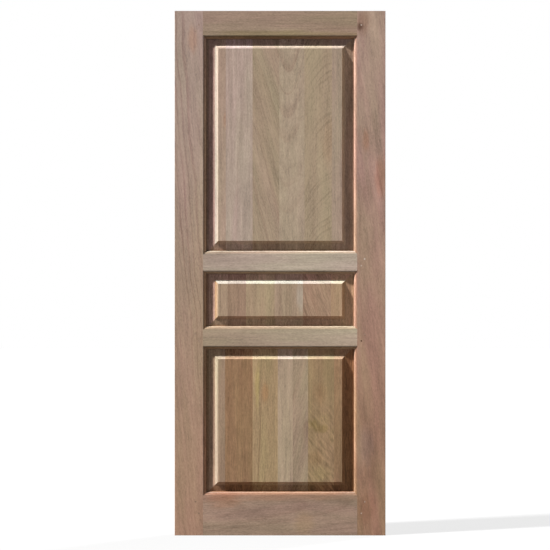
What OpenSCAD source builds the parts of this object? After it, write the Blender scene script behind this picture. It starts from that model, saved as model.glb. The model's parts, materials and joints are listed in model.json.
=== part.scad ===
// Panelled timber door leaf: two stiles and four rails round three raised panels.
// X runs across the leaf, Y through its thickness with the front at -Y, Z up from the bottom edge.

/* [Leaf] */
// Width of the leaf
leaf_w = 820; // [720:1:1000]
// Height of the leaf
leaf_h = 2040; // [1900:1:2400]
// Thickness of the leaf
leaf_t = 40; // [38:0.5:50]
// Radius of the eased outer edges of the stiles
edge_r = 1.5; // [0.5:0.1:4]

/* [Stiles and rails] */
// Flat face of each stile, from the outer edge to the moulding
stile_face = 110; // [95:1:140]
// Flat face of the top rail
top_rail_face = 95; // [80:1:140]
// Flat face of each middle rail
mid_rail_face = 65; // [55:1:110]
// Flat face of the bottom rail
bottom_rail_face = 157; // [140:1:240]
// Height of the middle opening, between the flat faces of its rails
middle_opening_h = 228; // [180:1:320]
// Height of the bottom opening, between the flat faces of its rails
bottom_opening_h = 580; // [400:1:680]

/* [Moulding and groove] */
// Small square step where the moulding leaves the flat face
step_d = 2; // [1:0.1:3]
// Radius of the quarter round below the step
ovolo_r = 13; // [11:0.1:14]
// Depth of the panel groove, from the inner edge of the moulding
groove_depth = 13; // [10:0.5:16]

/* [Joints] */
// Length of the tenons beyond the bottom of the stile's groove
tenon_l = 62; // [40:1:70]
// Height of the uncut wood between the top tenon and the end of the stile
haunch_h = 40; // [25:1:45]
// Height of the uncut wood between the lowest tenon and the foot of the stile
foot_haunch_h = 60; // [45:1:65]
// Space between the twin tenons of the bottom rail
twin_gap = 17; // [10:1:30]
// Room for glue on each cheek of a tenon
glue_fit = 0.1; // [0.05:0.05:0.3]
// Room at the tip and at the edges of a tenon in its mortise
mortise_gap = 0.5; // [0.2:0.1:2]
// Gap between the scribed end of a rail and the moulding of the stile
scribe_gap = 0.1; // [0.05:0.05:0.3]

/* [Joint pins] */
// Diameter of the pins that lock the tenons
pin_d = 6; // [4:0.1:8]
// Length of a pin
pin_l = 26; // [22:0.5:30]
// Depth of the pin's head below the front face
pin_set = 0.4; // [0.1:0.1:1]
// Distance of the nearer pin from the shoulder of the rail
pin_near = 16; // [10:1:24]
// Distance of the further pin from the shoulder of the rail
pin_far = 29; // [20:1:40]
// Height between the two pins of a single tenon
pin_pitch = 26; // [16:1:34]
// Distance of a pin from the edge of a twin tenon that faces the other tenon
twin_pin_edge = 14; // [9:1:17]
// Room round a pin in its bore
pin_fit = 0.05; // [0.02:0.01:0.1]

/* [Panels] */
// Depth of the raised field below the face of the stiles
field_recess = 1; // [0.5:0.1:5]
// Width of the border beside the stiles, from the flat face to the field
side_margin = 59; // [45:1:80]
// Width of the border beside the rails, from the flat face to the field
end_margin = 51; // [40:1:70]
// Width of the hollow that leads up to the field
cove_w = 15; // [10:0.5:20]
// Depth by which the hollow bites into the sloping border at its foot
cove_bite = 0.05; // [0.02:0.01:0.2]
// Rise of the sloping border from the groove to the hollow
slope_rise = 3.5; // [1:0.1:5]
// Gap between the panel's tongue and each cheek of the groove
tongue_fit = 0.25; // [0.1:0.05:0.5]
// Room for the panel to swell in the grooves of the stiles
swell_gap = 3; // [1:0.1:5]
// Room above and below the panel in the grooves of the rails
end_gap = 0.5; // [0.2:0.1:2]

/* [Hidden] */
$fn = 64;
// How far a cutting shape runs past the wood that it cuts
over = 1;

// Relative widths of the staves of each panel, from left to right
top_staves = [86, 104, 104, 98, 107, 95];
middle_staves = [93, 71, 112, 110, 109, 99];
bottom_staves = [83, 107, 98, 58, 60, 101, 87];

// The groove takes what the mouldings of both faces leave of the thickness
groove_w = leaf_t - 2 * (step_d + ovolo_r);
tenon_t = groove_w - 2 * glue_fit;
stile_w = stile_face + ovolo_r;
stile_groove_x = stile_w - groove_depth;

// Distances from the middle of the leaf to the shoulders, groove bottoms and tenon tips
shoulder_x = leaf_w / 2 - stile_face;
groove_x = leaf_w / 2 - stile_groove_x;
tenon_x = groove_x + tenon_l - mortise_gap;

// Heights at which the flat faces of the rails end and the openings begin
lower_rail_low = bottom_rail_face + bottom_opening_h;
lower_rail_high = lower_rail_low + mid_rail_face;
upper_rail_low = lower_rail_high + middle_opening_h;
upper_rail_high = upper_rail_low + mid_rail_face;
top_rail_low = leaf_h - top_rail_face;

// Each rail: name, bottom and top of its flat face, moulded below, moulded above
rails = [
    ["top_rail", top_rail_low, leaf_h, true, false],
    ["upper_mid_rail", upper_rail_low, upper_rail_high, true, true],
    ["lower_mid_rail", lower_rail_low, lower_rail_high, true, true],
    ["bottom_rail", 0, bottom_rail_face, false, true]
];

// Each panel: name, bottom and top of its opening, relative widths of its staves
panels = [
    ["top_panel", upper_rail_high, top_rail_low, top_staves],
    ["middle_panel", lower_rail_high, upper_rail_low, middle_staves],
    ["bottom_panel", bottom_rail_face, lower_rail_low, bottom_staves]
];

// Half thicknesses of the raised panel at its field, at the foot of its hollow and at its tongue
field_y = leaf_t / 2 - field_recess;
tongue_y = groove_w / 2 - tongue_fit;
foot_y = tongue_y + slope_rise;
panel_w = 2 * (shoulder_x - ovolo_r + groove_depth - swell_gap);

// The slope fills the narrower border, and the wider one has a flat land beside it
slope_w = min(side_margin, end_margin) - ovolo_r - cove_w;
slope_angle = atan(slope_rise / slope_w);

// The hollow runs from the edge of the field to a foot where it lies along the slope
cove_drop = field_y - foot_y + cove_bite;
cove_r = (cove_w ^ 2 + cove_drop ^ 2) / (2 * (cove_drop * cos(slope_angle) - cove_w * sin(slope_angle)));
cove_centre = [cove_w + cove_r * sin(slope_angle), cove_r * cos(slope_angle) - cove_drop];

// Colours of bare timber and steel
stile_colour = [0.62, 0.52, 0.45];
rail_colour = [0.66, 0.58, 0.51];
stave_colours = [[0.65, 0.56, 0.48], [0.57, 0.45, 0.34], [0.62, 0.55, 0.46], [0.60, 0.52, 0.40]];
pin_colour = [0.78, 0.77, 0.75];

// What the entries of the rails and panels hold
function name_of(entry) = entry[0];
function low_of(entry) = entry[1];
function high_of(entry) = entry[2];
function moulded_below(rail) = rail[3];
function moulded_above(rail) = rail[4];
function shares_of(panel) = panel[3];
function stave_count(panel) = len(shares_of(panel));

// Name of a stave, counted from the left
function stave_name(panel, i) = str(name_of(panel), "_stave_", i + 1);

// Sum of the first n numbers of a list
function sum_to(list, n) = n == 0 ? 0 : list[n - 1] + sum_to(list, n - 1);

// Place across the leaf of the left edge of stave i, with the outermost edges past the panel
function stave_x(panel, i) =
    let (shares = shares_of(panel), count = stave_count(panel))
    i == 0 ? -panel_w / 2 - over :
    i == count ? panel_w / 2 + over :
    panel_w * (sum_to(shares, i) / sum_to(shares, count) - 1 / 2);

// Bottom and top of the wood that a rail has left between its own grooves
function core_low(rail) = low_of(rail) - (moulded_below(rail) ? ovolo_r - groove_depth : 0);
function core_high(rail) = high_of(rail) + (moulded_above(rail) ? ovolo_r - groove_depth : 0);

// Bottom and top of each tenon: haunched at the ends of the stile, twin on the bottom rail
function tenon_spans(rail) =
    let (low = core_low(rail), high = core_high(rail), foot = low + foot_haunch_h)
    let (twin_h = (high - foot - twin_gap) / 2)
    !moulded_above(rail) ? [[low, high - haunch_h]] :
    !moulded_below(rail) ? [[foot, foot + twin_h], [high - twin_h, high]] :
    [[low, high]];

// Heights of the two pins of a joint, nearer pin first: it is the higher one on the top rail only
function middle(span) = (span[0] + span[1]) / 2;
function pin_heights(rail) =
    let (spans = tenon_spans(rail), rise = (moulded_above(rail) ? 1 : -1) * pin_pitch / 2)
    len(spans) == 1
        ? [middle(spans[0]) - rise, middle(spans[0]) + rise]
        : [spans[0][1] - twin_pin_edge, spans[1][0] + twin_pin_edge];

// One quarter of a panel's outline before the hollow is cut, from its edge to its field
function quarter(half, field_half) = [
    [half, tongue_y],
    [field_half + cove_w + slope_w, tongue_y],
    [field_half + cove_w, foot_y],
    [field_half + cove_w, field_y]
];

// Moulding on both faces along an edge: a quarter round on each side of the groove
module moulding(grow = 0) {
    for (side = [-1, 1])
        translate([0, side * groove_w / 2])
            circle(r = ovolo_r + grow);
    translate([0, -groove_w / 2])
        square([ovolo_r + grow, groove_w]);
}

// Groove for a panel, cut into a moulded edge
module groove() {
    translate([ovolo_r - groove_depth, -groove_w / 2])
        square([groove_depth + over, groove_w]);
}

// Outline of a stile from its eased outer edge at x = 0 to its moulding
module stile_outline(grow = 0) {
    translate([edge_r, -leaf_t / 2])
        square([stile_face + grow - edge_r, leaf_t]);
    translate([0, edge_r - leaf_t / 2])
        square([stile_face, leaf_t - 2 * edge_r]);
    for (side = [-1, 1])
        translate([edge_r, side * (leaf_t / 2 - edge_r)])
            circle(r = edge_r);
    translate([stile_face, 0])
        moulding(grow);
}

// Sets a shape on each edge of a rail that faces an opening
module moulded_edges(rail) {
    if (moulded_below(rail))
        translate([low_of(rail), 0])
            mirror([1, 0])
                children();
    if (moulded_above(rail))
        translate([high_of(rail), 0])
            children();
}

// Section of a rail, with its height along x
module rail_section(rail) {
    difference() {
        union() {
            translate([low_of(rail), -leaf_t / 2])
                square([high_of(rail) - low_of(rail), leaf_t]);
            moulded_edges(rail)
                moulding();
        }
        moulded_edges(rail)
            groove();
    }
}

// Section of a raised panel through the middle of one of its two directions
module panel_section(half, field_half) {
    corner = quarter(half, field_half);
    count = len(corner);
    centre = [field_half, field_y] + cove_centre;
    difference() {
        polygon([
            for (i = [0 : count - 1]) corner[i],
            for (i = [count - 1 : -1 : 0]) [-corner[i].x, corner[i].y],
            for (i = [0 : count - 1]) -corner[i],
            for (i = [count - 1 : -1 : 0]) [corner[i].x, -corner[i].y]
        ]);
        for (side = [-1, 1])
            for (face = [-1, 1])
                translate([side * centre.x, face * centre.y])
                    circle(r = cove_r);
    }
}

// Stands a section with its height along x on the leaf and runs it across, centred
module across(length) {
    rotate([0, -90, 0])
        linear_extrude(height = length, center = true)
            children();
}

// Block centred on the leaf in X and Y, between two heights
module slab(width, thickness, low, high) {
    translate([-width / 2, -thickness / 2, low])
        cube([width, thickness, high - low]);
}

// Left-hand pieces as they are, or mirrored to the right
module handed(right) {
    mirror([right ? 1 : 0, 0, 0])
        children();
}

// Pins of the left-hand joints of one rail, or the bores for them
module pins(rail, grow = 0, length = pin_l) {
    heights = pin_heights(rail);
    for (i = [0, 1])
        translate([-shoulder_x - [pin_near, pin_far][i], pin_set - leaf_t / 2, heights[i]])
            rotate([-90, 0, 0])
                cylinder(d = pin_d + 2 * grow, h = length);
}

// Bores for the pins, open at the front face
module pin_bores(rail) {
    translate([0, -pin_set - over, 0])
        pins(rail, pin_fit, pin_l + pin_set + over);
}

// Mortises for the left-hand tenons of one rail, opening into the groove of the stile
module mortises(rail) {
    for (span = tenon_spans(rail))
        translate([-groove_x - tenon_l, -groove_w / 2, span[0] - mortise_gap])
            cube([tenon_l + over, groove_w, span[1] - span[0] + 2 * mortise_gap]);
}

// Stile of the left side, or mirrored for the right, with its groove, mortises and pin bores
module stile(right) {
    color(stile_colour)
        handed(right)
            difference() {
                translate([-leaf_w / 2, 0, 0])
                    linear_extrude(height = leaf_h)
                        difference() {
                            stile_outline();
                            translate([stile_face, 0])
                                groove();
                        }
                for (rail = rails) {
                    mortises(rail);
                    pin_bores(rail);
                }
            }
}

// Rail between the shoulders, with its ends scribed over the moulding of the stiles
module scribed_rail(rail) {
    difference() {
        across(2 * (shoulder_x - scribe_gap))
            rail_section(rail);
        for (right = [false, true])
            handed(right)
                translate([-leaf_w / 2, 0, -over])
                    linear_extrude(height = leaf_h + 2 * over)
                        stile_outline(scribe_gap);
    }
}

// Whole rail: a tongue fills the grooves of the stiles, and the tenons run on into the mortises
module framed_rail(rail) {
    color(rail_colour)
        difference() {
            union() {
                scribed_rail(rail);
                slab(2 * (groove_x - mortise_gap), tenon_t, core_low(rail), core_high(rail));
                for (span = tenon_spans(rail))
                    slab(2 * tenon_x, tenon_t, span[0], span[1]);
            }
            for (right = [false, true])
                handed(right)
                    pin_bores(rail);
        }
}

// Raised panel with mitred corners, where its two sections meet
module raised_panel(panel) {
    opening_half = (high_of(panel) - low_of(panel)) / 2;
    half = opening_half - ovolo_r + groove_depth - end_gap;
    translate([0, 0, low_of(panel) + opening_half])
        intersection() {
            linear_extrude(height = 2 * half + over, center = true)
                panel_section(panel_w / 2, shoulder_x - side_margin);
            across(panel_w + over)
                panel_section(half, opening_half - end_margin);
        }
}

// Wood that is sawn off beside a stave, to the right of x = 0
module offcut() {
    translate([0, -leaf_t / 2, 0])
        cube([leaf_w, leaf_t, leaf_h]);
}

// One stave of a panel, glued to its neighbours along flat edges
module stave(panel, i) {
    color(stave_colours[i % len(stave_colours)])
        difference() {
            raised_panel(panel);
            translate([stave_x(panel, i), 0, 0])
                mirror([1, 0, 0])
                    offcut();
            translate([stave_x(panel, i + 1), 0, 0])
                offcut();
        }
}

// All pins of the leaf, as a group of separate solids
module joint_pins() {
    color(pin_colour)
        for (rail = rails)
            for (right = [false, true])
                handed(right)
                    pins(rail);
}

stile(right = false);  // left_stile
stile(right = true);  // right_stile
for (rail = rails)
    framed_rail(rail);
for (panel = panels)
    for (i = [0 : stave_count(panel) - 1])
        stave(panel, i);
joint_pins();
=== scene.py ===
# %% [markdown]
# # A panelled front door, dressed in timber
#
# The door leaf comes from the CAD model: two stiles, four rails, nineteen staves in three raised
# panels, and a group of steel pins. Every one of those solids already has its true shape, so this
# lesson keeps them all and spends its effort on what CAD can't give: bare timber that looks sawn
# from a log, board by board, and the light that shows the mouldings.

# %% Load the CAD model
import json
import math
from dataclasses import dataclass

import bmesh
import bpy
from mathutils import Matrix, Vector


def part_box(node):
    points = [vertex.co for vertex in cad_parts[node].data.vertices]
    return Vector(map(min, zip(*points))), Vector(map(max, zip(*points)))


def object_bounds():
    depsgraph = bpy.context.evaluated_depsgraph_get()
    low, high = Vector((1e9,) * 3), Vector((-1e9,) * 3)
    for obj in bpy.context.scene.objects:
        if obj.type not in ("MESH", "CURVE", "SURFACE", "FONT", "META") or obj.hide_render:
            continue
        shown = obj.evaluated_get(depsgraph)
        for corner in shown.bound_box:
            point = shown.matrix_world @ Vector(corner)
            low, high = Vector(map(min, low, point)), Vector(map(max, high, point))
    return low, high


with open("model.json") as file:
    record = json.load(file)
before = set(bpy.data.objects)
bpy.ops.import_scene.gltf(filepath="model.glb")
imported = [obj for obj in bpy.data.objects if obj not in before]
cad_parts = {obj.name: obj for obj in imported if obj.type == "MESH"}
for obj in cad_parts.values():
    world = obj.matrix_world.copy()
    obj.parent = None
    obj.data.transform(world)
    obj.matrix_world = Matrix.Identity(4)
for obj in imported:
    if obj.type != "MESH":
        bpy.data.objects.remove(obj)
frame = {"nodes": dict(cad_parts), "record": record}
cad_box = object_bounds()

nodes = frame["nodes"]
scene = bpy.context.scene
print("pieces from the CAD model:", len(nodes))
print("size in metres:", [round(high - low, 4) for low, high in zip(*cad_box)])

# %% [markdown]
# ## The camera
#
# The picture looks at the leaf square on, with no converging edges, from about the height of its
# middle. A long lens far away gives that flat look. The width that the picture takes in at the
# front face sets the angle of view, so the leaf fills the frame as it does in the picture. The
# plain view transform shows colours as they are, without the look of film.

# %% Camera
FRONT_Y = cad_box[0].y
VIEW_WIDTH = 2.139  # metres across the picture, at the front face
VIEW_MIDDLE = (-0.0198, 1.0129)  # x and z in the middle of the picture
VIEW_DISTANCE = 6.0

lens = bpy.data.cameras.new("camera")
lens.angle = 2 * math.atan(VIEW_WIDTH / 2 / VIEW_DISTANCE)
camera = bpy.data.objects.new("camera", lens)
camera.location = (VIEW_MIDDLE[0], FRONT_Y - VIEW_DISTANCE, VIEW_MIDDLE[1])
camera.rotation_euler = (math.radians(90), 0, 0)
scene.collection.objects.link(camera)
scene.camera = camera
scene.view_settings.view_transform = "Standard"
print("angle of view:", round(math.degrees(lens.angle), 2), "degrees")

# %% [markdown]
# ## Sums with sockets
#
# A timber has many layers, and each is a small sum: a mask times a strength, one minus a mask, and
# so on. Wiring each sum by hand takes pages. A class that wraps one socket, and adds a Math node
# for every plus or times, lets the sums be written as sums.

# %% The wire class
class Wire:
    """One output of a shader node, which takes part in sums as a number does."""

    def __init__(self, tree, socket=None):
        self.tree = tree
        self.socket = socket

    def add(self, kind, settings=None, inputs=None, output=0):
        """Adds any node: its settings first, then the values or wires of its sockets."""
        node = self.tree.nodes.new("ShaderNode" + kind)
        for name, value in (settings or {}).items():
            setattr(node, name, value)
        for key, value in (inputs or {}).items():
            if isinstance(value, Wire):
                self.tree.links.new(value.socket, node.inputs[key])
            else:
                node.inputs[key].default_value = value
        return Wire(self.tree, node.outputs[output] if node.outputs else None)

    def output(self, key):
        """Another output of the same node."""
        return Wire(self.tree, self.socket.node.outputs[key])

    def maths(self, operation, *values):
        return self.add("Math", {"operation": operation}, dict(enumerate(values)))

    def __add__(self, other):
        return self.maths("ADD", self, other)

    def __sub__(self, other):
        return self.maths("SUBTRACT", self, other)

    def __rsub__(self, other):
        return self.maths("SUBTRACT", other, self)

    def __mul__(self, other):
        return self.maths("MULTIPLY", self, other)

    __radd__ = __add__
    __rmul__ = __mul__


sums = [name for name in vars(Wire) if name.endswith(("add__", "sub__", "mul__"))]
print("sums that a wire takes part in:", sums)

# %% [markdown]
# ## Timber as a log
#
# A board is a slice of a log. Its rings are cylinders round the pith, and the pith lies somewhere
# outside the board and leans a little, so the face cuts the rings into long V shapes, the edges
# into straight lines and the ends into arcs. One material that measures the distance from the pith
# draws all of these at once, and they agree at every corner. A flat picture of grain would not.
# The helpers below are the few nodes that such a material needs again and again.

# %% Colours
SRGB_KNEE = 0.04045
SRGB_SLOPE = 12.92
SRGB_OFFSET = 0.055
SRGB_POWER = 2.4


def linear(channel):
    """One colour channel as the eye reads it, turned into an amount of light."""
    if channel <= SRGB_KNEE:
        return channel / SRGB_SLOPE
    return ((channel + SRGB_OFFSET) / (1 + SRGB_OFFSET)) ** SRGB_POWER


def colour(red, green, blue):
    return (linear(red), linear(green), linear(blue), 1.0)


def mixed(factor, first, second):
    """The first colour where the factor is 0, and the second where it is 1."""
    # a Mix node has sockets for every kind of data: 6, 7 and output 2 are those for colours
    return factor.add("Mix", {"data_type": "RGBA"}, {0: factor, 6: first, 7: second}, 2)


print("a grey that reads as 0.5 sends back this share of the light:", round(linear(0.5), 3))

# %% Vectors
def scaled(vector, factors):
    return vector.add("VectorMath", {"operation": "MULTIPLY"}, {0: vector, 1: factors})


def moved(vector, offset):
    return vector.add("VectorMath", {"operation": "ADD"}, {0: vector, 1: offset})


def reach(vector):
    """How long a vector is."""
    return vector.add("VectorMath", {"operation": "LENGTH"}, {0: vector}, 1)


def unsigned(vector):
    """A vector whose parts have lost their minus signs."""
    return vector.add("VectorMath", {"operation": "ABSOLUTE"}, {0: vector})


def split(vector):
    """The first part of a vector. Outputs 1 and 2 of the same node are the others."""
    return vector.add("SeparateXYZ", None, {0: vector})


def joined(first, second, third):
    return first.add("CombineXYZ", None, {0: first, 1: second, 2: third})


print("vector helpers:", [f.__name__ for f in (scaled, moved, reach, unsigned, split, joined)])

# %% Noise
NOISE_MEAN = 0.5
SEED_WAY = (1.0, 0.7, 1.3)


def noise(vector, cells, seed, detail=2.0, output=0):
    """Cloudy noise, with its own number of cells per metre along each axis."""
    place = moved(scaled(vector, cells), tuple(seed * step for step in SEED_WAY))
    return place.add("TexNoise", None, {"Vector": place, "Scale": 1.0, "Detail": detail}, output)


def centred(value):
    """Noise, moved so that it is about 0 on average."""
    return value - NOISE_MEAN


print("average of the noise:", NOISE_MEAN)

# %% Bands and slopes
def bands(value, seed, detail=2.0):
    """Cloudy noise along a single value, as uneven stripes."""
    kind = {"noise_dimensions": "1D"}
    return value.add("TexNoise", kind, {"W": value + seed, "Scale": 1.0, "Detail": detail})


def ramp(value, low, high):
    """0 up to low, 1 from high, and a soft slope between them."""
    kind = {"interpolation_type": "SMOOTHSTEP"}
    return value.add("MapRange", kind, {"Value": value, "From Min": low, "From Max": high})


print("pattern helpers:", [f.__name__ for f in (noise, centred, bands, ramp)])

# %% [markdown]
# ## How a board is described
#
# No two boards of a real door match, because each was cut from its own place in its own log. A
# small record holds what differs: the tone at each end, where the pith lies, how the fibres lean
# and wander, and how strong each kind of marking is. The rest of the material is shared.

# %% What differs from board to board
@dataclass
class Cut:
    """How one board was cut from its log. Lengths are in metres."""

    seed: float
    low: tuple = (0.0, 0.0, 0.0)  # lightness, warmth and gold at the lower or left end
    high: tuple = None  # the same at the other end, if it differs
    pith: tuple = (0.03, 0.09)  # where the pith lies, across and behind the middle
    lean: tuple = (0.0, 0.02)  # how far it moves across and back for each metre along
    rings: float = 70.0  # growth rings for each metre out from the pith
    lines: tuple = (0.2, 0.2)  # strength of the dark ring lines at each end
    sway: float = 0.008  # how far the fibres wander
    bends: float = 1.5  # how often they do so for each metre along
    cloud: float = 0.3  # strength of the soft clouds
    broad: float = 0.45  # strength of the wide bands of tone
    streak: float = 0.48  # strength of the long streaks
    fleck: float = 0.42  # strength of the short flecks
    hue: float = 1.0  # how far the colour strays towards pink and olive
    figure: tuple = ()  # ripples, mottle and patches


print("what a record holds:", list(Cut.__dataclass_fields__))

# %% Tone of a board
SLOTS = {m["slot"]: m["base_color"] for m in frame["record"]["materials"]}
SLOT_OF = {p["node"]: p["material_slot"] for p in frame["record"]["subparts"]}


def tone(node, lightness, warmth, gold=0.0):
    """The board's colour from the record, made lighter, warmer or more golden."""
    red, green, blue = (c * (1 + lightness) for c in SLOTS[SLOT_OF[node]])
    return red * (1 + warmth), green, blue * (1 - warmth - gold)


print("timbers in the record:", [slot for slot in SLOTS if slot.endswith("timber")])

# %% [markdown]
# ## A point's place in the log
#
# The fibres of a stile or stave run upright and those of a rail run sideways, so the board's own
# axes come first: across, through and along. Slow noise makes the fibres wander. Then the distance
# from the leaning pith gives the growth rings. Object coordinates serve for all of this, because
# every board of the CAD model keeps its place in its mesh.

# %% Board and log axes
WANDER_CELLS = 6.0
WANDER_DETAIL = 4.0


class Place:
    """Wires that tell where a point lies on its board and in its log."""

    def __init__(self, start, node, cut):
        low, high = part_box(node)
        middle, size = (low + high) / 2, high - low
        self.upright = size.z > size.x
        length = max(size.z, size.x)
        self.point = start.add("TexCoord", None, None, "Object")
        spot = split(self.point)
        # -1 on the front and 1 on the back, because left is that of whoever looks at the face
        self.left_side = spot.maths("SIGN", spot.output(1))
        self.left = spot * self.left_side  # above 0 on the left half
        x = split(moved(self.point, tuple(-c for c in middle)))
        depth, z = x.output(1), x.output(2)
        self.across, self.along = (x, z) if self.upright else (z, x)
        self.end = ramp(self.along, -0.5 * length, 0.5 * length)

        board = joined(self.across, depth, self.along)
        cells = (WANDER_CELLS, WANDER_CELLS, cut.bends)
        slow = moved(noise(board, cells, cut.seed, WANDER_DETAIL, 1), (-NOISE_MEAN,) * 3)
        bent = split(moved(board, scaled(slow, (2 * cut.sway, 2 * cut.sway, 0.0))))
        log_across = bent - self.along * cut.lean[0]
        log_through = bent.output(1) - self.along * cut.lean[1]
        self.log = joined(log_across, log_through, self.along)
        self.radius = reach(joined(log_across - cut.pith[0], log_through - cut.pith[1], 0.0))


rails = [name for name in nodes if name.endswith("_rail")]
print("boards whose fibres run sideways:", rails)

# %% [markdown]
# ## Grain
#
# Seen close, this timber has soft clouds, wide bands of tone, long thin streaks, short flecks where
# the fibres dive in and out of the face, and fine fibres with open pores. Each is the same noise,
# stretched along the fibres by a different amount. The ring lines come from the log.

# %% Grain layers
LAYERS = {  # cells for each metre across and along the fibres, detail, and a step of the seed
    "cloud": (15.0, 5.0, 3.0, 17),
    "broad": (24.0, 1.6, 3.0, 11),
    "streak": (110.0, 2.6, 4.0, 23),
    "fleck": (230.0, 26.0, 3.0, 37),
    "speck": (300.0, 110.0, 2.0, 41),
    "fibre": (700.0, 14.0, 2.0, 31),
    "pore": (1300.0, 60.0, 1.0, 47),
}
PORE_EDGE = (0.6, 0.72)


def grain_layers(place, cut):
    """The markings of bare timber at a point. All but the pores are about 0.5 on average."""
    grain = {}
    for name, (across, along, detail, step) in LAYERS.items():
        grain[name] = noise(place.log, (across, across, along), cut.seed + step, detail)
    grain["pore"] = ramp(grain["pore"], *PORE_EDGE)
    return grain


fleck_size = [round(1 / cells, 4) for cells in LAYERS["fleck"][:2]]
print("one fleck in metres, across and along:", fleck_size)

# %% Shade of the grain
SPECK_STRENGTH = 0.55
FIBRE_STRENGTH = 0.3
PORE_LOSS = 0.14


def grain_shade(grain, cut):
    """How much the markings lighten or darken the tone."""
    light = 1.0 + cut.cloud * centred(grain["cloud"]) + cut.broad * centred(grain["broad"])
    light = light + cut.streak * centred(grain["streak"]) + cut.fleck * centred(grain["fleck"])
    light = light + SPECK_STRENGTH * centred(grain["speck"]) + FIBRE_STRENGTH * centred(grain["fibre"])
    return light - PORE_LOSS * grain["pore"]


print("share of its light that a pore loses:", PORE_LOSS)

# %% Ring lines
RING_DRIFT = 1.6  # how far a ring strays from its place, in rings
DRIFT_CELLS = 0.4
DRIFT_SEED = 3.7
LINE_SWELL = (0.5, 0.93)  # the part of a ring in which its line grows
LINE_STOP = (0.94, 1.0)  # and the part in which it ends
LINE_PICK = (0.36, 0.56)  # the noise at which a ring starts to have a line, and has a full one
PICK_CELLS = 0.8
PICK_SEED = 5.3
LINE_FADE = (0.33, 0.52)  # the same along the line
SLOW_CELLS = (16.0, 16.0, 2.0)
FADE_SEED = 53


def ring_lines(place, cut):
    """Dark lines that swell slowly and stop sharply, some strong and some hardly there."""
    rings = place.radius * cut.rings
    phase = rings + RING_DRIFT * bands(rings * DRIFT_CELLS, cut.seed * DRIFT_SEED)
    part = phase.maths("FRACT", phase)
    line = ramp(part, *LINE_SWELL) * (1.0 - ramp(part, *LINE_STOP))
    strong = ramp(bands(phase * PICK_CELLS, cut.seed * PICK_SEED), *LINE_PICK)
    fade = ramp(noise(place.log, SLOW_CELLS, cut.seed + FADE_SEED), *LINE_FADE)
    first, last = cut.lines
    return line * strong * fade * (first + (last - first) * place.end)


print("distance between ring lines in metres:", round(1 / Cut(0.0).rings, 4))

# %% [markdown]
# ## Figure
#
# Some boards show more than plain grain. Wavy fibres catch the light as curved ripples, crossed
# fibres as slanting mottle, and minerals or sap leave patches of another colour. The band along the
# lower edge of the top rail is painted shade instead, and the one along the upper edge of the bottom
# rail painted light. Each kind is a short function that changes the board's lightness or colour,
# and only the boards that need it call it. A board's record lists the functions with their values,
# and a patch with its tint last.

# %% Ripples
RIPPLE_WARP = 0.1  # how far a ripple strays, in metres
WARP_CELLS = (7.0, 7.0, 3.0)
RIPPLE_CELLS = (8.0, 8.0, 5.0)
RIPPLE_FADE = (0.3, 0.6)
RIPPLE_EDGE = (0.45, 0.7)
RIPPLE_SEED = 5


def ripple(place, slope, bow, spacing, strength, seed):
    """Curved dark ripples across a board, which rise to the right by the slope."""
    warp = RIPPLE_WARP * centred(noise(place.log, WARP_CELLS, seed))
    wave = place.along - place.across * slope - place.across * place.across * bow + warp
    fade = ramp(noise(place.log, RIPPLE_CELLS, seed + RIPPLE_SEED), *RIPPLE_FADE)
    return -strength * fade * ramp(bands(wave * (1 / spacing), seed, 1.0), *RIPPLE_EDGE)


print("a ripple strays by up to this many metres:", RIPPLE_WARP * NOISE_MEAN)

# %% Mottle
MOTTLE_TOP = 0.14  # height above the board's middle at which the mottle ends, in metres
MOTTLE_NOISE = {"Scale": 1.0, "Detail": 3.0, "Distortion": 0.5}


def mottle(place, slope, size, strength, seed):
    """Soft strokes that fall to the right, strongest in the lower half of a board."""
    slant = place.across + place.along * slope
    fall = place.along - place.across * slope
    spot = scaled(joined(slant, fall, 0.0), (1 / size[0], 1 / size[1], 1.0))
    curl = spot.add("TexNoise", None, {"Vector": moved(spot, (seed, seed, 0.0))} | MOTTLE_NOISE)
    lower = 1.0 - ramp(place.along, 0.0, MOTTLE_TOP)
    return strength * lower * centred(curl)


print("kinds of figure:", [f.__name__ for f in (ripple, mottle)])

# %% Patches of colour
# what the timber's red, green and blue are multiplied by in a patch
RED_SPOT = (1.0, 0.87, 0.80)
SOFT_RED = (1.0, 0.95, 0.92)
GREY_SPOT = (0.98, 1.04, 1.14)
PALE_GREY = (1.10, 1.22, 1.37)
GOLD_SPOT = (1.05, 1.03, 0.93)
BROWN_SPOT = (0.84, 0.76, 0.72)
SHADE_SPOT = (0.85, 0.79, 0.77)
STAIN = (0.50, 0.45, 0.43)
DARK_OLIVE = (0.84, 0.86, 0.72)
PALE_STREAK = (1.10, 1.18, 0.96)
PALE_CURL = (1.08, 1.12, 1.05)

print("a stain keeps this share of the red light:", STAIN[0])

# %% Shape of a patch
PATCH_DEPTH = 0.03
PATCH_EDGE = (0.25, 1.0)
RAGGED = 0.9
RAGGED_CELLS = (60.0, 60.0, 9.0)


def patch(place, centre, spread, seed):
    """A soft spot on the front, 1 at its centre, with a ragged edge. Both pairs are (x, z)."""
    away = moved(place.point, (-centre[0], -FRONT_Y, -centre[1]))
    away = scaled(away, (1 / spread[0], 1 / PATCH_DEPTH, 1 / spread[1]))
    ragged = reach(away) + RAGGED * centred(noise(place.log, RAGGED_CELLS, seed))
    return 1.0 - ramp(ragged, *PATCH_EDGE)


print("a patch fades out at this depth in metres:", PATCH_DEPTH)

# %% [markdown]
# ## The colour of a board
#
# The tone drifts from one end of the board to the other, strays between pink and olive across it,
# and darkens along the ring lines. Colours multiply through Vector Math, because a Math node would
# turn them grey.

# %% Colour of a board
DARK_LINE = (0.60, 0.47, 0.47)
PINK = (1.03, 0.965, 0.985)
OLIVE = (0.985, 1.005, 0.945)
HUE_DRIFT = (0.3, 0.7)
HUE_SEED = 61


def toned_down(factors, share):
    """A tint brought nearer to no tint at all."""
    return tuple(1 + share * (f - 1) for f in factors)


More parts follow.
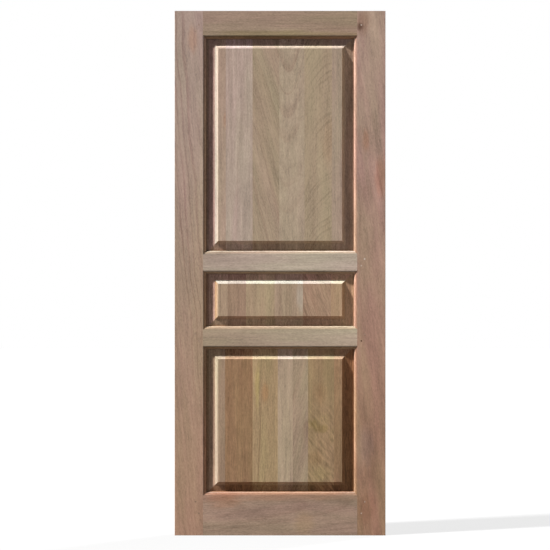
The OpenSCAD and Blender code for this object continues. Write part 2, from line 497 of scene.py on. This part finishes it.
def board_colour(place, node, cut):
    first, last = tone(node, *cut.low), tone(node, *(cut.high or cut.low))
    paint = mixed(place.end, colour(*first), colour(*last))
    drift = ramp(noise(place.log, SLOW_CELLS, cut.seed + HUE_SEED), *HUE_DRIFT)
    pink = scaled(paint, toned_down(PINK, cut.hue))
    olive = scaled(paint, toned_down(OLIVE, cut.hue))
    paint = mixed(drift, pink, olive)
    return mixed(ring_lines(place, cut), paint, scaled(paint, DARK_LINE))


print("half of the pink tint:", [round(f, 4) for f in toned_down(PINK, 0.5)])

# %% [markdown]
# ## Painted light and shade, and the marks of the tools
#
# The borders, coves and mouldings carry painted light and shade as tints of the timber: one tint
# where a surface faces up or to the left, towards the lamp, and another where it faces down or to
# the right, away from it. The tints of the borders are painted shade, set panel by panel. A door is
# sanded after it is glued up, and the sander reaches the flat faces only, so the grain shows bolder
# in the borders and on the mouldings. A cove that faces the lamp takes a painted highlight, most at
# its foot, and a moulding most on its steep part. Painted shade darkens the deepest lines: the outer
# strip of each panel at the left and the foot of each moulding. Left is that of whoever looks at the
# face, so both faces are painted alike. The ends are sawn, so they are dark and rough, and so are
# the narrow outer edges, where the darkening is also painted shade that holds down the raking lamp.
# The place and the direction of the surface tell which is which, so no mask has to be painted, and
# each panel has its own tints.

# %% Tints of the panels
# painted light and shade of a border: where it faces up or left, towards the lamp, where it faces
# down or right, away from it, and painted shade in its deepest strip at the left
BORDER_LIGHT_AND_SHADE = {
    "top": ((0.95, 0.84, 0.93), (1.12, 0.99, 0.95), (0.60, 0.56, 0.56)),
    "middle": ((1.40, 1.20, 1.38), (1.20, 1.12, 1.10), (0.70, 0.58, 0.60)),
    "bottom": ((1.16, 1.08, 1.12), (0.87, 0.69, 0.58), (0.90, 0.80, 0.74)),
}
# painted highlight on a cove that faces the lamp, at its foot and at its rim, first of one that
# faces left, then of one that faces up
LIT_SIDE_COVE = {
    "top": ((1.22, 1.42, 1.52), (1.03, 1.13, 1.20)),
    "middle": ((1.28, 1.10, 0.94), (0.85, 0.81, 0.78)),
    "bottom": ((1.52, 1.72, 1.85), (0.82, 0.91, 0.98)),
}
# painted highlight on a cove that faces up, at its foot and at its rim
LIT_END_COVE = {
    "top": ((1.72, 1.82, 1.98), (0.70, 0.73, 0.80)),
    "middle": ((1.58, 2.05, 2.50), (0.98, 1.25, 1.57)),
    "bottom": ((1.10, 1.22, 1.38), (1.06, 1.18, 1.34)),
}
# painted shade on a cove that faces right, away from the lamp, and on one that faces down
SHADED_COVE = {
    "top": ((1.28, 1.15, 1.04), (1.10, 0.96, 0.86)),
    "middle": ((1.20, 1.06, 0.95), (1.12, 0.96, 0.86)),
    "bottom": ((0.92, 0.74, 0.62), (1.04, 0.88, 0.78)),
}

print("panels with tints of their own:", list(BORDER_LIGHT_AND_SHADE))

# %% Tints of the mouldings
# painted light and shade on the nearly flat part and on the steep part, where the moulding faces
# up or left, towards the lamp
LIT_MOULDING = {
    "stile": ((0.80, 0.68, 0.55), (1.24, 1.23, 1.21)),
    "rail": ((0.75, 0.66, 0.60), (0.87, 0.88, 0.92)),
}
# painted shade: the same where it faces down or right, away from the lamp
SHADED_MOULDING = {
    "stile": ((0.72, 0.60, 0.49), (0.97, 0.85, 0.75)),
    "rail": ((0.75, 0.57, 0.42), (0.84, 0.68, 0.53)),
}
# painted shade at the foot of each moulding, where it meets the panel
MOULDING_FOOT_SHADE = (0.62, 0.50, 0.40)

print("boards with mouldings:", list(LIT_MOULDING))

# %% Painted light and shade by direction
# how squarely a surface faces the front where it takes its steep tint, and where its flat one
COVE_TURN = (0.72, 0.93)
MOULDING_TURN = (0.78, 0.90)


def lit_or_shaded(lamp_facing, pale, plain):
    """Painted light and shade: the first where the surface faces up or left, to the lamp, else the
    second.
    """
    return mixed(lamp_facing.maths("GREATER_THAN", lamp_facing, 0.0), plain, pale)


def graded(paint, facing, turn, tints):
    """The first tint where the surface is nearly flat, and the second where it is steep."""
    flat, steep = tints
    return mixed(ramp(facing.output(1), *turn), scaled(paint, steep), scaled(paint, flat))


steep_slope = math.degrees(math.acos(COVE_TURN[0]))
print("a cove takes its steep tint at this slope:", round(steep_slope), "degrees")

# %% Borders and coves
BORDER_DEPTH = (0.0105, 0.0114)  # metres below the face
# the painted shade of the deepest strip of a border at the left starts at this depth
SHADED_RIM_DEPTH = (0.0149, 0.0152)
BORDER_TURN = (0.967, 0.9875)  # how squarely a cove, and a border, faces the front


def panel_light_and_shade(paint, panel, place, facing, lamp_facing):
    """Painted light and shade on a stave's borders and coves, and where the sander did not reach."""
    depth = -FRONT_Y - split(unsigned(place.point)).output(1)
    border = ramp(depth, *BORDER_DEPTH)
    left = place.left.maths("GREATER_THAN", place.left, 0.0)
    # painted shade in the deepest strip of the border at the left
    dust_and_shade = ramp(depth, *SHADED_RIM_DEPTH) * left
    cove = 1.0 - ramp(facing.output(1), *BORDER_TURN)
    across = facing.maths("GREATER_THAN", facing.output(2), facing)
    ends = graded(paint, facing, COVE_TURN, LIT_END_COVE[panel])
    sides = graded(paint, facing, COVE_TURN, LIT_SIDE_COVE[panel])
    plain_side, plain_end = (scaled(paint, tint) for tint in SHADED_COVE[panel])
    hollow = lit_or_shaded(lamp_facing, mixed(across, sides, ends), mixed(across, plain_side, plain_end))
    pale, plain, rim_shade = (scaled(paint, tint) for tint in BORDER_LIGHT_AND_SHADE[panel])
    paint = mixed(border, paint, mixed(dust_and_shade, lit_or_shaded(lamp_facing, pale, plain), rim_shade))
    return mixed(cove, paint, hollow), border


print("borders start at this depth in metres:", BORDER_DEPTH[0])

# %% Mouldings
ROUND_TURN = (0.95, 0.985)  # how squarely the moulding, and the flat face, faces the front
DEEP_TURN = (0.44, 0.66)  # the same for the foot of the moulding, and for the part above it


def frame_light_and_shade(paint, board, edge, facing, lamp_facing):
    """The same on a stile or rail, whose moulding has painted shade that darkens it towards the panel.
    """
    curved = (1.0 - ramp(facing.output(1), *ROUND_TURN)) * (1.0 - edge)
    deep = (1.0 - ramp(facing.output(1), *DEEP_TURN)) * (1.0 - edge)
    pale = graded(paint, facing, MOULDING_TURN, LIT_MOULDING[board])
    plain = graded(paint, facing, MOULDING_TURN, SHADED_MOULDING[board])
    round_part = mixed(curved, paint, lit_or_shaded(lamp_facing, pale, plain))
    return mixed(deep, round_part, scaled(paint, MOULDING_FOOT_SHADE)), curved


deep_slope = math.degrees(math.acos(DEEP_TURN[0]))
print("a moulding is darkest beyond this slope:", round(deep_slope), "degrees")

# %% Outer edges
EDGE_DEPTH = 0.0004


def outer_edge(place):
    """1 on the narrow outer edges of the leaf, 0 elsewhere."""
    low, high = cad_box
    middle, half = (low + high) / 2, (high - low) / 2
    x = split(unsigned(moved(place.point, tuple(-c for c in middle))))
    side = x.maths("GREATER_THAN", x, half.x - EDGE_DEPTH)
    top = x.maths("GREATER_THAN", x.output(2), half.z - EDGE_DEPTH)
    return side.maths("MAXIMUM", side, top)


print("an outer edge is this deep in metres:", EDGE_DEPTH)

# %% Painted light and shade, and the marks of the tools
SAWN_TURN = (0.8, 0.95)


def painted_light_and_tools(place, node, paint):
    """The colour with painted light and shade, what the sander missed, and what is bare from the saw.
    """
    normal = split(place.point.output("Normal"))
    facing = split(unsigned(place.point.output("Normal")))
    # above 0 where the surface faces up or left, towards the lamp, and takes the tints of painted
    # light
    lamp_facing = normal.output(2) + normal * place.left_side  # above 0 where it faces up or left
    edge = outer_edge(place)
    if "stave" in node:
        paint, unsanded = panel_light_and_shade(paint, node.split("_")[0], place, facing, lamp_facing)
    else:
        paint, unsanded = frame_light_and_shade(paint, node.split("_")[-1], edge, facing, lamp_facing)
    sawn = ramp(facing.output(2 if place.upright else 0), *SAWN_TURN)
    return paint, unsanded, sawn.maths("MAXIMUM", sawn, edge)


sawn_turn = math.degrees(math.acos(SAWN_TURN[1]))
print("an end is all sawn if it is square to the board within:", round(sawn_turn), "degrees")

# %% [markdown]
# ## The timber material
#
# Everything comes together here: colour, painted light and shade, tools, grain and figure. The bump
# is slight, because the light rakes across the face and makes even a small furrow show. Bare timber
# hardly shines, so its gloss is low and the same all over, which is set on the shader itself.

# %% A blank material
def blank_material(name):
    """A material with no nodes yet, and a wire that starts its tree."""
    material = bpy.data.materials.new(name)
    material.use_nodes = True
    material.node_tree.nodes.clear()
    return material, Wire(material.node_tree)


print("materials so far:", len(bpy.data.materials))

# %% Furrows and roughness
FURROW = 0.00025
FLECK_HEIGHT = 0.5
FIBRE_HEIGHT = 0.3
PORE_DEPTH = 0.3
ROUGH = 0.68
ROUGH_FIBRE = 0.2
ROUGH_PORE = 0.1
ROUGH_SAWN = 0.12


def furrows(grain):
    """The bump of the grain."""
    height = FLECK_HEIGHT * grain["fleck"] + FIBRE_HEIGHT * grain["fibre"] - PORE_DEPTH * grain["pore"]
    return height.add("Bump", None, {"Strength": 1.0, "Distance": FURROW, "Height": height})


def roughness(grain, sawn):
    bare = ROUGH + ROUGH_FIBRE * centred(grain["fibre"]) + ROUGH_PORE * grain["pore"]
    return bare + ROUGH_SAWN * sawn


print("depth of the furrows in metres:", FURROW)

# %% Timber
DULL = 0.04
BOLDER = 0.6  # how much more the grain shows where the sander did not reach
# ends and outer edges lose this share of their light: end grain's own darker tone, and on the outer
# edges also painted shade that holds down the raking lamp
SAWN_AND_SHADED_LOSS = 0.3
FIGURE_SEED = 7


def timber(node, cut):
    """Bare, planed timber for one board."""
    material, start = blank_material(node + "_timber")
    place = Place(start, node, cut)
    grain = grain_layers(place, cut)
    paint = board_colour(place, node, cut)
    shade = grain_shade(grain, cut)
    for number, (kind, *values) in enumerate(cut.figure):
        seed = cut.seed + FIGURE_SEED * number
        if kind is patch:
            *where, tint = values
            paint = mixed(patch(place, *where, seed), paint, scaled(paint, tint))
        else:
            shade = shade + kind(place, *values, seed)

    # the painted light and shade of the borders, coves and mouldings go on here
    paint, unsanded, sawn = painted_light_and_tools(place, node, paint)
    shade = 1.0 + (shade - 1.0) * (1.0 + BOLDER * unsanded)
    shade = shade * (1.0 - SAWN_AND_SHADED_LOSS * sawn)
    paint = paint.add("VectorMath", {"operation": "SCALE"}, {0: paint, "Scale": shade})
    look = {"Base Color": paint, "Roughness": roughness(grain, sawn), "Normal": furrows(grain)}
    surface = paint.add("BsdfPrincipled", None, look | {"Specular IOR Level": DULL})
    surface.add("OutputMaterial", None, {"Surface": surface})
    return material


print("gloss of bare timber:", DULL)
print("share of its light that a sawn edge loses:", SAWN_AND_SHADED_LOSS)

# %% [markdown]
# ## The frame boards
#
# The stiles and rails are seen whole, and each has its own look: wavy dark lines down the left
# stile, a pinkish, cloudy right stile that grows darker towards the floor and has a stain at its
# top pin, two pale middle rails between two browner outer ones.

# %% Stiles
boards = {}
boards["left_stile"] = Cut(
    seed=1.0, low=(-0.08, 0.05, -0.01), high=(0.045, -0.03, -0.03),
    pith=(0.11, 0.03), lean=(-0.09, 0.02), rings=50.0,
    lines=(0.05, 0.7), sway=0.022, bends=2.6, streak=0.42,
    figure=(
        (patch, (-0.342, 1.927), (0.03, 0.07), RED_SPOT),
        (patch, (-0.310, 1.04), (0.050, 0.55), PALE_CURL),
    ),
)
boards["right_stile"] = Cut(
    seed=2.0, low=(-0.035, -0.01, 0.015), high=(0.14, -0.08, -0.02), lean=(-0.12, 0.06),
    lines=(0.15, 0.2), sway=0.016, cloud=0.7, broad=0.6, streak=0.4, hue=1.4,
    figure=(
        (patch, (0.319, 1.998), (0.040, 0.065), BROWN_SPOT),
        (patch, (0.311, 1.979), (0.018, 0.024), STAIN),
        (patch, (0.334, 1.538), (0.02, 0.06), RED_SPOT),
        (patch, (0.392, 1.402), (0.03, 0.11), RED_SPOT),
        (patch, (0.330, 0.344), (0.045, 0.12), GREY_SPOT),
        (patch, (0.334, 0.105), (0.045, 0.09), SHADE_SPOT),
    ),
)
print("patches on the stiles:", [len(cut.figure) for cut in boards.values()])

# %% Rails
boards["top_rail"] = Cut(
    seed=3.0, low=(-0.055, 0.0, -0.02), high=(-0.045, -0.01, 0.025),
    # a dark band along the lower edge of the rail and its moulding: painted shade
    figure=((patch, (0.0, 1.950), (0.50, 0.018), DARK_OLIVE),),
)
boards["upper_mid_rail"] = Cut(
    seed=4.0, low=(-0.03, -0.015, -0.03), high=(0.055, -0.03, -0.015), streak=0.35,
)
boards["lower_mid_rail"] = Cut(
    seed=5.0, low=(-0.11, 0.0, 0.02), high=(0.03, -0.02, 0.01), streak=0.35, fleck=0.35,
)
boards["bottom_rail"] = Cut(
    seed=6.0, low=(0.095, -0.085, 0.035), high=(0.045, -0.085, 0.035), lean=(0.04, 0.06),
    cloud=0.6, broad=0.6, streak=0.4,
    figure=(
        (patch, (-0.218, 0.138), (0.09, 0.05), RED_SPOT),
        (patch, (0.092, 0.048), (0.05, 0.07), GOLD_SPOT),
        # a warmer band along the upper edge of the rail and its moulding, which faces the lamp:
        # painted light
        (patch, (0.0, 0.160), (0.50, 0.035), RED_SPOT),
    ),
)
print("frame boards described:", len(boards))

# %% [markdown]
# ## The staves of the top panel
#
# Each panel is glued up from upright staves. In the top one the third stave has slanting grain, the
# fourth shows the V shapes of a board cut near the pith, and the fifth has the curved ripples.

# %% Top panel
TOP_STAVES = [
    Cut(seed=7.0, low=(0.01, 0.0, -0.05), figure=((patch, (-0.206, 1.616), (0.02, 0.05), RED_SPOT),)),
    Cut(seed=8.0, low=(-0.025, 0.0, -0.06), streak=0.65),
    Cut(seed=9.0, low=(-0.02, -0.02, 0.005), lean=(-0.27, 0.02)),
    Cut(
        seed=10.0, low=(-0.045, 0.0, 0.005), pith=(-0.011, 0.1), lean=(0.0, -0.15),
        lines=(0.1, 0.4), hue=0.5,
    ),
    Cut(
        seed=11.0, low=(0.045, -0.025, -0.035), streak=0.25, fleck=0.3, hue=0.6,
        figure=((ripple, 1.1, -6.0, 0.016, 0.15), (patch, (0.19, 1.53), (0.05, 0.12), SOFT_RED)),
    ),
    Cut(seed=12.0, low=(-0.035, -0.01, -0.035), hue=0.7),
]
print("staves of the top panel:", len(TOP_STAVES))

# %% [markdown]
# ## The staves of the middle panel
#
# The low middle panel shows only a short length of each stave, so its tones matter most: tan,
# red-brown and olive, with one stave that turns pale grey along its right edge.

# %% Middle panel
MIDDLE_STAVES = [
    Cut(seed=13.0, low=(-0.03, 0.02, -0.035), broad=0.7, fleck=0.65),
    Cut(seed=14.0, low=(0.01, -0.055, 0.02)),
    Cut(seed=15.0, low=(0.05, -0.015, -0.02)),
    Cut(
        seed=16.0, low=(0.0, -0.015, 0.045), hue=0.5,
        figure=((patch, (0.079, 0.927), (0.026, 0.075), PALE_GREY),),
    ),
    Cut(
        seed=17.0, low=(0.11, -0.065, 0.055), lean=(-0.35, 0.0), lines=(0.35, 0.35),
        broad=0.8, fleck=0.65,
    ),
    Cut(seed=18.0, low=(-0.015, 0.03, 0.02)),
]
print("staves of the middle panel:", len(MIDDLE_STAVES))

# %% [markdown]
# ## The staves of the bottom panel
#
# This panel is the most mixed: a golden stave, one with a pale streak and a reddish spot, a narrow
# one with slanting bands, and a mottled olive one whose fibres cross.

# %% Bottom panel
BOTTOM_STAVES = [
    Cut(seed=19.0, low=(-0.11, 0.02, -0.01)),
    Cut(seed=20.0, low=(-0.075, -0.015, 0.095), cloud=0.6, fleck=0.75),
    Cut(
        seed=21.0, low=(0.0, 0.005, 0.03), rings=110.0, lines=(0.5, 0.1), fleck=0.65, broad=0.7,
        figure=(
            (patch, (-0.088, 0.581), (0.014, 0.13), PALE_STREAK),
            (patch, (-0.057, 0.554), (0.022, 0.05), RED_SPOT),
        ),
    ),
    Cut(seed=22.0, low=(-0.045, 0.015, 0.0), high=(-0.075, 0.015, 0.0), cloud=0.6),
    Cut(
        seed=23.0, low=(-0.065, -0.01, 0.01), lean=(0.21, 0.05), lines=(0.45, 0.45),
        rings=30.0, broad=0.6,
    ),
    Cut(
        seed=24.0, low=(-0.1, 0.03, 0.0), fleck=0.35, cloud=0.5,
        figure=(
            (mottle, 0.7, (0.013, 0.06), 1.1),
            (patch, (0.171, 0.449), (0.040, 0.035), PALE_CURL),
            (patch, (0.205, 0.387), (0.020, 0.045), PALE_CURL),
            (patch, (0.163, 0.239), (0.060, 0.040), PALE_CURL),
            (patch, (0.155, 0.550), (0.035, 0.060), SOFT_RED),
            (patch, (0.135, 0.301), (0.040, 0.040), SOFT_RED),
            (patch, (0.163, 0.415), (0.040, 0.022), DARK_OLIVE),
            (patch, (0.130, 0.433), (0.030, 0.026), DARK_OLIVE),
        ),
    ),
    Cut(seed=25.0, low=(-0.085, -0.025, 0.09), high=(0.005, -0.025, 0.09), fleck=0.8, broad=0.7),
]
print("staves of the bottom panel:", len(BOTTOM_STAVES))

# %% [markdown]
# ## Dressing the boards
#
# Each board of the CAD model has one material slot. One loop fills it with the timber that the
# board's record describes, so a board that is added later needs nothing but a record.

# %% Dress the boards
for panel, staves in (("top", TOP_STAVES), ("middle", MIDDLE_STAVES), ("bottom", BOTTOM_STAVES)):
    boards |= {f"{panel}_panel_stave_{number}": cut for number, cut in enumerate(staves, 1)}
for name, cut in boards.items():
    nodes[name].data.materials[0] = timber(name, cut)
print("boards dressed:", len(boards))

# %% [markdown]
# ## The steel pins
#
# Each joint is locked by two pins of drawn steel rod, driven through the stile and filed flush.
# Only their round ends show. A few are still bright, a few have gone dark, and the rest were rubbed
# over with timber dust, so they hardly show. All pins are one piece of the CAD model, so one
# material serves them all, tells them apart by their place, and gives each its share of shine.

# %% Which pin is which
BRIGHT_PINS = (
    (0.316, 1.9855, 0.65),
    (0.329, 1.0755, 1.0),
    (0.316, 1.0495, 0.6),
    (0.329, 0.131, 0.3),
    (0.316, 0.086, 0.45),
)
DARK_PINS = ((0.316, 0.7565, 0.9), (-0.329, 0.131, 0.35), (-0.316, 0.086, 0.35))
PIN_REACH = 0.006  # metres from the middle of a pin


def at_pins(point, places):
    """The listed share on each pin, and 0 on all others. Each place is x, z and the share."""
    found = []
    for x, z, share in places:
        far = reach(scaled(moved(point, (-x, 0.0, -z)), (1.0, 0.0, 1.0)))
        found.append(share * far.maths("LESS_THAN", far, PIN_REACH))
    return sum(found[1:], found[0])


print("bright and dark pins:", len(BRIGHT_PINS), len(DARK_PINS))

# %% Pin colours
FILED_SHADE = 0.8
DUST_FILM = (1.16, 1.02, 0.93)
DUSTY_PIN = ((0.54, 0.45, 0.39), (0.64, 0.54, 0.47))
BLACK_PIN = ((0.20, 0.12, 0.08), (0.32, 0.20, 0.14))
CLOUD_CELLS = (900.0, 900.0, 900.0)
CLOUD_SEED = 3.0


def pin_colour(point, marks, bright, dark):
    """Filed steel under a film of timber powder, that powder alone, or black."""
    cloud = noise(point, CLOUD_CELLS, CLOUD_SEED)
    steel = SLOTS[SLOT_OF["joint_pins"]]
    filed = mixed(marks, colour(*(c * FILED_SHADE for c in steel)), colour(*steel))
    dust_and_shade = mixed(cloud, *(colour(*tint) for tint in DUSTY_PIN))
    black = mixed(cloud, *(colour(*tint) for tint in BLACK_PIN))
    return mixed(dark, mixed(bright, dust_and_shade, scaled(filed, DUST_FILM)), black)


print("steel of the record:", SLOTS[SLOT_OF["joint_pins"]])

# %% Pin material
FILE_CELLS = (6000.0, 6000.0, 300.0)
FILE_SEED = 5.0
FILE_MARKS = {"Strength": 0.4, "Distance": 0.00005}
PIN_ROUGH = 0.75
PIN_POLISH = 0.35
FILE_ROUGH = 0.2


def pin_rod():
    """Filed ends of drawn steel rod."""
    material, start = blank_material("pin_rod")
    point = start.add("TexCoord", None, None, "Object")
    marks = noise(point, FILE_CELLS, FILE_SEED)
    bright, dark = at_pins(point, BRIGHT_PINS), at_pins(point, DARK_PINS)
    paint = pin_colour(point, marks, bright, dark)
    bump = marks.add("Bump", None, FILE_MARKS | {"Height": marks})
    rough = PIN_ROUGH - PIN_POLISH * bright + FILE_ROUGH * centred(marks)
    look = {"Base Color": paint, "Metallic": bright, "Roughness": rough, "Normal": bump}
    surface = paint.add("BsdfPrincipled", None, look | {"Specular IOR Level": DULL})
    surface.add("OutputMaterial", None, {"Surface": surface})
    return material


nodes["joint_pins"].data.materials[0] = pin_rod()
print("pieces dressed:", len(boards) + 1)

# %% [markdown]
# ## The light
#
# A clear light from the upper left rakes across the leaf. It makes the coves and mouldings that
# face it bright and leaves most of the borders in shade. The slant of the shadows at the corners of
# the panels gives its direction. A second, softer lamp does the same for the back. A lamp is set by
# its share of the light on a face, so that all the light together comes to about one, and a colour
# renders about as it is written.

# %% Lamps
KEY_WAY = (3.15, 1.0, -3.85)
KEY_SHARE = 0.73
KEY_SOFTNESS = 2.5
BACK_WAY = (-1.3, -1.0, -1.0)
BACK_SHARE = 0.75
BACK_SOFTNESS = 8


def sun(name, travel, share, softness):
    """A distant lamp that gives a face its share of plain light. Its softness is in degrees."""
    travel = Vector(travel).normalized()
    light = bpy.data.lights.new(name, "SUN")
    light.energy = share * math.pi / abs(travel.y)
    light.angle = math.radians(softness)
    lamp = bpy.data.objects.new(name, light)
    lamp.rotation_euler = travel.to_track_quat("-Z", "Y").to_euler()
    scene.collection.objects.link(lamp)
    return light


key = sun("key", KEY_WAY, KEY_SHARE, KEY_SOFTNESS)
back = sun("back", BACK_WAY, BACK_SHARE, BACK_SOFTNESS)
print("strength of the lamps:", round(key.energy, 2), round(back.energy, 2))

# %% [markdown]
# ## The sky
#
# The rest of the light comes from all round, but hardly from straight in front: light from there
# would fill the borders, which are nearly as dark as they can be. What the camera sees, straight
# or in a reflection, is plain white, and that has no part in lighting the leaf.

# %% What the camera sees
WHITE = (1.0, 1.0, 1.0, 1.0)


def seen(start):
    """1 for rays that show a thing to the camera, 0 for those that carry light to the leaf."""
    path = start.add("LightPath", None, None, "Is Camera Ray")
    shown = path.maths("MAXIMUM", path, path.output("Is Glossy Ray"))
    return shown.maths("MAXIMUM", shown, path.output("Is Transmission Ray"))


print("the camera sees a backdrop of:", WHITE[:3])

# %% Sky
FRONT_SKY = 0.03
SIDE_SKY = 1.7
SIDE_BAND = (0.2, 0.45)  # how far a way points to the front or back where the side ends

world = bpy.data.worlds.new("studio")
scene.world = world
world.use_nodes = True
world.node_tree.nodes.clear()
sky = Wire(world.node_tree)
way = sky.add("TexCoord", None, None, "Generated")
side = 1.0 - ramp(split(unsigned(way)).output(1), *SIDE_BAND)
glow = FRONT_SKY + (SIDE_SKY - FRONT_SKY) * side
strength = glow + (1.0 - glow) * seen(sky)
air = strength.add("Background", None, {"Color": WHITE, "Strength": strength})
air.add("OutputWorld", None, {"Surface": air})
print("light from the side and from the front:", SIDE_SKY, FRONT_SKY)

# %% [markdown]
# ## The floor
#
# The floor is one wide, pale sheet. A pale floor in the sun would throw much light up into the
# mouldings, so it is darker for the light that it passes on than for the camera. It glows towards
# the camera, as white paper does in a light box, and still takes the shadow of the leaf.

# %% Floor
FLOOR_HALF = 15.0
FLOOR_GLOW = 0.91
GLOW_STRENGTH = 0.79
FLOOR_GREY = (0.13, 0.13, 0.13, 1.0)
FLOOR_PALE = (0.8, 0.8, 0.8, 1.0)

floor_mesh = bpy.data.meshes.new("floor")
shape = bmesh.new()
bmesh.ops.create_grid(shape, x_segments=1, y_segments=1, size=FLOOR_HALF)
shape.to_mesh(floor_mesh)
shape.free()
floor = bpy.data.objects.new("floor", floor_mesh)
scene.collection.objects.link(floor)
print("floor in metres:", [round(length, 2) for length in floor.dimensions])

# %% Floor material
paper, start = blank_material("floor_paper")
shown = seen(start)
pale = mixed(shown, FLOOR_GREY, FLOOR_PALE)
look = {"Base Color": pale, "Roughness": 1.0, "Specular IOR Level": 0.0}
matt = pale.add("BsdfPrincipled", None, look)
lit = pale.add("Emission", None, {"Color": WHITE, "Strength": GLOW_STRENGTH})
both = shown.add("MixShader", None, {0: shown * FLOOR_GLOW, 1: matt, 2: lit})
both.add("OutputMaterial", None, {"Surface": both})
floor.data.materials.append(paper)
print("share of the floor that glows:", FLOOR_GLOW)

# %% [markdown]
# ## The end
